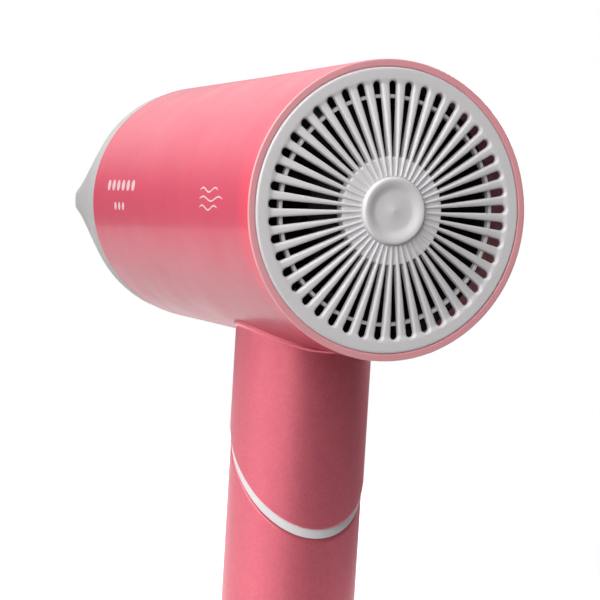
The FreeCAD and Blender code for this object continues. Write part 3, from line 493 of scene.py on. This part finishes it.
def make_grille():
    """The spokes with their flange, the brace ring behind them and the hub."""
    rows = grille_cell()
    width = len(rows[0])
    points, faces = [], []
    for k in range(SLOTS):
        a = 2 * pi * k / SLOTS + SLOT_TURN
        base = len(points)
        for row in rows:
            for x, r, t in row:
                points.append((x, r * sin(a) + t * cos(a), r * cos(a) - t * sin(a)))
        for i in range(len(rows) - 1):
            for j in range(width - 1):
                p = base + i * width + j
                faces.append((p, p + 1, p + 1 + width, p + width))
        inner_end = [base + i * width for i in range(len(rows))]
        faces += [inner_end, [p + width - 1 for p in reversed(inner_end)]]
    face = -LENGTH - 1.0
    edge = rounded([(face, FLANGE_IN, 0), (face, FLANGE_OUT, 0.6),
                    (-LENGTH + 2.4, FLANGE_OUT, 0.2), (-LENGTH + 2.4, 32.9, 0.2),
                    (spoke_back(FLANGE_IN), FLANGE_IN, 0)])
    turns = [2 * pi * k / SLOTS + SLOT_TURN + pi / SLOTS * tan(radians(11.25 * i))
             for k in range(SLOTS) for i in range(-4, 4)]
    base, width = len(points), len(turns)
    points += [(x, r * sin(a), r * cos(a)) for x, r in edge for a in turns]
    for i in range(len(edge) - 1):
        for j in range(width):
            p, q = base + i * width + j, base + i * width + (j + 1) % width
            faces.append((p, q, q + width, p + width))
    spokes = skin("grille_spokes", points, faces, WHITE, sharp=60)
    brace = lathe("grille_brace", rounded([
        (-LENGTH + 0.9, 26.85, 0.2), (-LENGTH + 0.9, 27.75, 0.2), (-LENGTH + 2.6, 27.75, 0.1),
        (-LENGTH + 2.6, 26.85, 0.1)], steps=3), WHITE, 180)
    hub = lathe("grille_hub", rounded([
        (-LENGTH - 2.15, 7.0, 0), (-LENGTH - 1.85, 12.9, 0.3), (-LENGTH + 1.6, 12.9, 0.2),
        (-LENGTH + 1.6, 7.0, 0)], steps=4), WHITE, 160)
    return [spokes, brace, hub]


grille = make_grille()
for part in grille:
    stand_for(part, "barrel", "white_plastic")
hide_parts("rear_grille")

top = -LENGTH - 3.5
dish = [(top + 5.0, 0), (top + 5.0, 8.1), (top + 1.0, 8.1)]
dish += [(top + 0.8 - 0.8 * sin(a), 7.4 + 0.7 * cos(a)) for a in angles(pi / 2, 10)]
dish += [(top + 0.85 * sin(pi / 2 * i / 20) ** 2, 7.3 - 2.9 * i / 20) for i in range(21)]
dish += [(top + 0.85, 0.8), (top + 0.78, 0.6), (top + 0.74, 0.35), (top + 0.73, 0)]
stand_for(lathe("grille_cap_dished", dish, WHITE, 128), "barrel", "white_plastic", "grille_cap")


# ---------------------------------------------------------------- neck, swivel ring and grip

def saddle(out):
    """Height of the barrel's underside, pushed out by a distance, over a point of the column."""
    return lambda x, y: -sqrt((barrel_radius(GRIP_X + x) + out) ** 2 - y * y)


def slanted(along, drop=0.0):
    """Height of the slanted swivel plane, a distance down its axis; drop lowers it further."""
    return lambda x, y: SWIVEL_Z + x - along * sqrt(2) - drop


neck_rows = [(16.5, saddle(-0.6)), (18.6, saddle(-0.6)), (18.6, saddle(0.35))]
neck_rows += [(18.3 + 0.3 * cos(a), saddle(0.55 + 0.45 * sin(a))) for a in angles(pi / 2, 5)]
neck_rows += [(18.3 - 0.2 * sin(a), saddle(1.0 + 0.35 * (1 - cos(a))))
              for a in angles(pi / 2, 4, first=1)]
neck_rows += [(NECK_R, saddle(2.2))]
neck_rows += [(NECK_R, slanted(-RING_HALF, -1.6)), (NECK_R, slanted(-RING_HALF, -0.8))]
neck_rows += [(NECK_R - 0.6 * (1 - cos(a)), slanted(-RING_HALF, -0.6 + 0.6 * sin(a)))
              for a in angles(pi / 2, 5)]
neck_rows += [(14.0, slanted(-RING_HALF)), (14.0, slanted(-RING_HALF, -3))]
neck = bands("neck_skin", column(neck_rows), PEARL)
stand_for(neck, "barrel", "grip_paint", "neck_shell")

ring_top, ring_low = -RING_HALF, RING_HALF - GAP / 2
ring_rows = [(6.1, slanted(ring_top, 0.05)), (16.9, slanted(ring_top, 0.05))]
ring_rows += [(17.35 + 0.25 * sin(a), slanted(ring_top, 0.05 + 0.35 * (1 - cos(a))))
              for a in angles(pi / 2, 4)]
ring_rows += [(17.35 + 0.25 * cos(a), slanted(ring_low, -0.35 * (1 - sin(a))))
              for a in angles(pi / 2, 4)]
ring_rows += [(16.9, slanted(ring_low)), (6.1, slanted(ring_low))]
stand_for(bands("swivel_ring_band", column(ring_rows), WHITE),
          "barrel", "white_plastic", "swivel_ring")

grip_top = RING_HALF + GAP / 2
grip_rows = [(15.9, FOOT), (GRIP_R - 0.5, FOOT), (GRIP_R - 0.5, FOOT + 0.1)]
grip_rows += [(GRIP_R - 0.5 * (1 - sin(a)), FOOT + 0.55 - 0.45 * cos(a))
              for a in angles(pi / 2, 4)]
grip_rows += [(GRIP_R, FOOT + 1.5 + i * (60 / 24)) for i in range(25)]
grip_rows += [(GRIP_R, slanted(grip_top, 1.6)), (GRIP_R, slanted(grip_top, 0.9))]
grip_rows += [(GRIP_R - 0.6 * (1 - cos(a)), slanted(grip_top, 0.6 - 0.6 * sin(a)))
              for a in angles(pi / 2, 5)]
grip_rows += [(14.0, slanted(grip_top)), (14.0, slanted(grip_top, 3)), (15.9, slanted(grip_top, 5))]
grip = bands("grip_skin", column(grip_rows), PEARL)
window = rounded([(-13.2, -148, 2.4), (13.2, -148, 2.4), (13.2, -86, 2.4), (-13.2, -86, 2.4)],
                 steps=6)
carve(grip, [prism("cutter", window, GRIP_X + 6, GRIP_X + 30, WHITE, axes="yz")])
stand_for(grip, "grip", "grip_paint", "grip_shell")


# ---------------------------------------------------------------- switch cover, controls and grip end

def puck(name, spot, half, radius, levels, finish):
    """A rounded block on the grip's front from (distance ahead, inset) levels, round (y, z)."""
    loops = []
    for x, inset in levels:
        a, b, r = half[0] - inset, half[1] - inset, max(0.1, radius - inset)
        loops.append([(GRIP_X + x, spot[0] + y, spot[1] + z)
                      for y, z in rounded([(-a, -b, r), (a, -b, r), (a, b, r), (-a, b, r)], support=0.2)])
    return bands(name, loops, finish, closed=False, ends=True)


SCREWS, KNOB_Z, BUTTON_Z = (-92, -142), -112, -129
cover = bands("switch_cover_plate",
              column([(15.7, -152), (GRIP_R, -152), (GRIP_R, -82), (15.7, -82)], 256), WHITE)
plate = rounded([(-13, -147.8, 2.2), (13, -147.8, 2.2), (13, -86.2, 2.2), (-13, -86.2, 2.2)],
                steps=6)
carve(cover, [prism("cutter", plate, GRIP_X + 9.2, GRIP_X + 30, WHITE, axes="yz")], "INTERSECT")
slot = rounded([(-2.3, KNOB_Z - 2.4, 1.2), (2.3, KNOB_Z - 2.4, 1.2), (2.3, KNOB_Z + 10.4, 1.2),
                (-2.3, KNOB_Z + 10.4, 1.2)])
holes = [prism("cutter", slot, GRIP_X + 9, GRIP_X + 30, WHITE, axes="yz"),
         prism("cutter", circle(0, BUTTON_Z, 4.9), GRIP_X + 9, GRIP_X + 30, WHITE, axes="yz")]
holes += [prism("cutter", circle(0, z, 2.4), GRIP_X + 15.3, GRIP_X + 30, WHITE, axes="yz")
          for z in SCREWS]
carve(cover, holes, bevel=0.25)
stand_for(cover, "grip", "white_plastic", "switch_cover")

for z in SCREWS:
    head = lathe("cover_screw_top" if z == SCREWS[0] else "cover_screw_bottom",
                 [(8, 0), (8, 1.1), (15.3, 1.1), (15.3, 2.2), (15.95, 2.2)]
                 + [(15.95 + 0.75 * sin(a), 1.0 + 1.2 * cos(a))
                    for a in angles(pi / 2, 6, first=1)]
                 + [(16.75, 0)], ZINC, 64, Matrix.Translation((GRIP_X, 0, z)))
    cross = []
    for a in (pi / 4, -pi / 4):
        arm = [(c * cos(a) - d * sin(a), z + c * sin(a) + d * cos(a))
               for c, d in ((-1.35, -0.26), (1.35, -0.26), (1.35, 0.26), (-1.35, 0.26))]
        cross.append(prism("cutter", arm, GRIP_X + 16.05, GRIP_X + 18, ZINC, axes="yz"))
    stand_for(carve(head, cross, bevel=0.06), "grip", "zinc_steel")
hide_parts("cover_screws")

pad = puck("selector_pad", (0, KNOB_Z), (3.6, 4.5), 1.1,
           [(17.98, 0.35), (18.15, 0.08), (18.4, 0), (19.7, 0.05), (19.95, 0.15), (20.12, 0.35),
            (20.2, 0.7)], WHITE)
ridges = [puck("ridge", (0, KNOB_Z + 1.8 * i), (3.0, 0.42), 0.4,
               [(20.0, 0), (20.45, 0.04), (20.6, 0.12), (20.68, 0.22), (20.7, 0.32)], WHITE)
          for i in range(-2, 3)]
stem = puck("stem", (0, KNOB_Z), (1.9, 2.0), 0.5, [(13.7, 0), (18.1, 0)], WHITE)
shutter = puck("shutter", (0, KNOB_Z), (4.4, 5.0), 0.8,
               [(12.3, 0.2), (12.5, 0), (13.6, 0), (13.8, 0.2)], WHITE)
stand_for(join([pad, *ridges, stem, shutter]), "selector", "white_plastic", "selector_knob")

press = [(12.3, 0), (12.3, 5.6), (13.7, 5.6), (13.7, 4.6), (18.4, 4.6)]
press += [(18.6 + 0.75 * sin(a), 3.85 + 0.75 * cos(a)) for a in angles(pi / 2, 6)]
press += [(19.35 - 0.42 * sin(pi / 2 * i / 10) ** 2, 3.5 * (1 - i / 10)) for i in range(11)]
stand_for(lathe("cool_button_dished", press, WHITE, 96, Matrix.Translation((GRIP_X, 0, BUTTON_Z))),
          "cool_shot", "white_plastic", "cool_button")

cap_rows = [(14, FOOT + 4), (15.5, FOOT + 4), (15.5, FOOT), (GRIP_R - 0.5, FOOT),
            (GRIP_R - 0.5, FOOT - 0.1)]
cap_rows += [(GRIP_R - 0.5 * (1 - sin(a)), FOOT - 0.55 + 0.45 * cos(a))
             for a in angles(pi / 2, 4)]
cap_rows += [(GRIP_R, FOOT - 1.2), (GRIP_R, CAP_END + 2)]
cap_rows += [(GRIP_R - 1.5 * (1 - cos(a)), CAP_END + 1.5 - 1.5 * sin(a))
             for a in angles(pi / 2, 8)]
cap_rows += [(15, CAP_END), (6.4, CAP_END), (5.2, CAP_END), (5.2, CAP_END + 3), (14, CAP_END + 3)]
end_cup = bands("end_cap_cup", column(cap_rows), PEARL)
LUG_X, LUG_Z, LUG_R, EYE_R = GRIP_X - 12.4, -174.4, 5, 3.2
outline = [(LUG_X - LUG_R, LUG_Z + 4.7), (LUG_X - LUG_R, LUG_Z + 1)]
outline += [(LUG_X - LUG_R * cos(a), LUG_Z - LUG_R * sin(a)) for a in angles(pi, 32)]
outline += [(LUG_X + LUG_R, LUG_Z + 1), (LUG_X + LUG_R, LUG_Z + 4.7)]
lug = carve(prism("hanging_lug", outline, -2.5, 2.5, PEARL),
            [prism("cutter", circle(LUG_X, LUG_Z, EYE_R, 64), -4, 4, PEARL)], bevel=0.5)
stand_for(end_cup, "grip", "grip_paint", "end_cap")
stand_for(lug, "grip", "grip_paint")

gland = [(3.6, -161), (5.0, -161), (5.1, -161.3), (5.1, -165), (6.4, -165), (6.4, -167), (5.1, -167),
         (5.1, -170.02), (6.2, -170.02), (6.4, -170.2), (6.4, -171.7)]
gland += [(6.4 - 0.8 * (1 - cos(a)), -171.7 - 0.8 * sin(a))
          for a in angles(pi / 2, 5, first=1)]
gland += [(4.1, -172.5), (3.75, -172.4), (3.6, -172.1)]
stand_for(bands("cord_gland_ring", column(gland, 96), WHITE), "grip", "white_plastic", "cord_gland")


# ---------------------------------------------------------------- nozzle

# This hood is turned a little about the air's axis, with slightly curved sides and a mouth with
# rounder corners. The CAD solid's is level and ruled straight, up to 2.3 mm away.
HOOD_SWEEP, HOOD_TURN, HOOD_POWER = 0.2, radians(2.4), 0.5
MOUTH_Y, MOUTH_Z, WALL = 33, 5.7, 1.8
NOZZLE_COUNT = 160                  # points in each of the nozzle's loops


def hood_loop(t, less):
    """A loop of the hood, a distance inside its outer face: a circle at t = 0, the flat mouth,
    with rounded corners, at t = 1."""
    x = HOOD_START + (NOZZLE_END - HOOD_START) * t
    blend = t + HOOD_SWEEP * t * (1 - t) * (2 * t - 1)
    turn_c, turn_s = cos(HOOD_TURN), sin(HOOD_TURN)
    loop = []
    for c, s in ring(NOZZLE_COUNT, 0.5):
        mouth = ((MOUTH_Y - less) * copysign(abs(c) ** HOOD_POWER, c),
                 (MOUTH_Z - less) * copysign(abs(s) ** HOOD_POWER, s))
        base = ((COLLAR_R - less) * c, (COLLAR_R - less) * s)
        y, z = (u + (v - u) * blend for u, v in zip(base, mouth))
        loop.append((x, y * turn_c + z * turn_s, z * turn_c - y * turn_s))
    return loop


def round_loop(x, r):
    return [(x, r * c, r * s) for c, s in ring(NOZZLE_COUNT, 0.5)]


nozzle_loops = [round_loop(x, r) for x, r in (
    (2.1, 29.4), (-9.8, 29.4), (-9.8, SPIGOT_R), (0.3, SPIGOT_R), (0.3, 34.7), (0.42, 34.98),
    (0.7, COLLAR_R), (1.2, COLLAR_R), (7.6, COLLAR_R))]
nozzle_loops += [hood_loop(t, 0) for t in [i / 24 for i in range(24)] + [0.98]]
nozzle_loops += [hood_loop(1.0, d) for d in (0.3, 0.9, 1.5)]
nozzle_loops += [hood_loop(t, WALL) for t in [0.98] + [1 - i / 24 for i in range(1, 25)]]
nozzle_loops += [round_loop(8.0, COLLAR_R - WALL), round_loop(2.1, COLLAR_R - WALL)]
nozzle = bands("nozzle_skin", nozzle_loops, PALE, sharp=50)
stand_for(nozzle, "nozzle", "nozzle_plastic", "concentrator_nozzle")


# ---------------------------------------------------------------- studio

def softbox(name, spot, size, power, colour=(1, 1, 1), glossy=True):
    """A soft rectangular light aimed at the dryer's middle."""
    light = bpy.data.lights.new(name, "AREA")
    light.shape = "RECTANGLE"
    light.size, light.size_y = size
    light.energy = power
    light.color = colour
    light.spread = pi
    lamp = bpy.data.objects.new(name, light)
    lamp.location = spot
    lamp.rotation_euler = (Vector(spot) - MIDDLE).to_track_quat("Z", "Y").to_euler()
    lamp.visible_glossy = glossy
    bpy.context.scene.collection.objects.link(lamp)


MIDDLE = Vector((-0.07, 0, -0.05))
softbox("key_left", (-0.32, 0.70, 0.45), (0.8, 0.9), 7.4, colour=(1, 0.99, 0.98))
softbox("top", (-0.25, 0.45, 0.95), (0.6, 0.6), 1.3)
softbox("side", (-0.80, 0.66, 0.22), (0.45, 0.8), 2.0)
softbox("front_fill", (-1.05, 0.35, 0.35), (0.6, 0.6), 2.4, glossy=False)
softbox("low_fill", (-0.20, 0.80, -0.45), (0.6, 0.3), 1.3, glossy=False)
softbox("far_fill", (0.55, -1.0, 0.4), (0.7, 0.7), 9.0)

# White to the camera and even and dim to diffuse rays; reflections see it brighten upwards and
# towards +X
world = bpy.data.worlds.new("studio")
bpy.context.scene.world = world
world.use_nodes = True
tree = world.node_tree
dim, seen = tree.nodes["Background"], tree.nodes.new("ShaderNodeBackground")
dim.inputs["Color"].default_value = (1, 0.99, 0.98, 1)
seen.inputs["Color"].default_value = (1, 1, 1, 1)
seen.inputs["Strength"].default_value = 1.0
way = tree.nodes.new("ShaderNodeSeparateXYZ")
tree.links.new(tree.nodes.new("ShaderNodeTexCoord").outputs["Generated"], way.inputs[0])


def rise(source, low, high, start, end):
    """A smooth step along one part of the world direction."""
    node = tree.nodes.new("ShaderNodeMapRange")
    node.interpolation_type = "SMOOTHSTEP"
    for key, value in (("From Min", low), ("From Max", high), ("To Min", start), ("To Max", end)):
        node.inputs[key].default_value = value
    tree.links.new(source, node.inputs["Value"])
    return node.outputs["Result"]


glow = tree.nodes.new("ShaderNodeMath")
glow.operation = "MULTIPLY_ADD"
tree.links.new(rise(way.outputs["Z"], 0.02, 0.34, 0, 1), glow.inputs[0])
tree.links.new(rise(way.outputs["X"], 0.3, 0.9, 0.05, 1.5), glow.inputs[1])
glow.inputs[2].default_value = 0.10
tree.links.new(glow.outputs[0], dim.inputs["Strength"])
even = tree.nodes.new("ShaderNodeBackground")
even.inputs["Strength"].default_value = 0.14
path = tree.nodes.new("ShaderNodeLightPath")
look = dim.outputs[0]
for kind, sky in (("Is Diffuse Ray", even), ("Is Camera Ray", seen)):
    blend = tree.nodes.new("ShaderNodeMixShader")
    tree.links.new(path.outputs[kind], blend.inputs[0])
    tree.links.new(look, blend.inputs[1])
    tree.links.new(sky.outputs[0], blend.inputs[2])
    look = blend.outputs[0]
tree.links.new(look, tree.nodes["World Output"].inputs["Surface"])

floor_mat = material("studio_floor", (0.9, 0.9, 0.9), rough=0.6, mottle=0.004, mottle_mm=90,
                     grain=0.02, grain_mm=3, Emission_Color=(1, 1, 1, 1), Emission_Strength=0.85)
FLOOR_X, FLOOR_Y, FLOOR_Z = (-260, 1250), (-320, 2500), cad_box[0][2] / MM - 1
floor = skin("studio_floor", [(FLOOR_X[0], FLOOR_Y[0], FLOOR_Z), (FLOOR_X[1], FLOOR_Y[0], FLOOR_Z),
                              (FLOOR_X[1], FLOOR_Y[1], FLOOR_Z), (FLOOR_X[0], FLOOR_Y[1], FLOOR_Z)],
             [(0, 1, 2, 3)], floor_mat)
floor.visible_diffuse = False

bpy.context.scene.view_settings.view_transform = "Standard"

# The camera stands behind the dryer on its left, looking forward and slightly down
CAMERA_SPOT = Vector((-0.5330, 0.1763, -0.0033))
CAMERA_HEADING, CAMERA_PITCH, CAMERA_ROLL = radians(-21.5087), radians(-2.5557), radians(3.4605)
ahead = Vector((cos(CAMERA_PITCH) * cos(CAMERA_HEADING), cos(CAMERA_PITCH) * sin(CAMERA_HEADING),
                sin(CAMERA_PITCH)))
camera = bpy.data.objects.new("camera", bpy.data.cameras.new("camera"))
camera.matrix_world = (Matrix.Translation(CAMERA_SPOT)
                       @ ahead.to_track_quat("-Z", "Y").to_matrix().to_4x4()
                       @ Matrix.Rotation(CAMERA_ROLL, 4, "Z"))
camera.data.lens = 108.2
camera.data.clip_start = 0.01
bpy.context.scene.collection.objects.link(camera)
bpy.context.scene.camera = camera
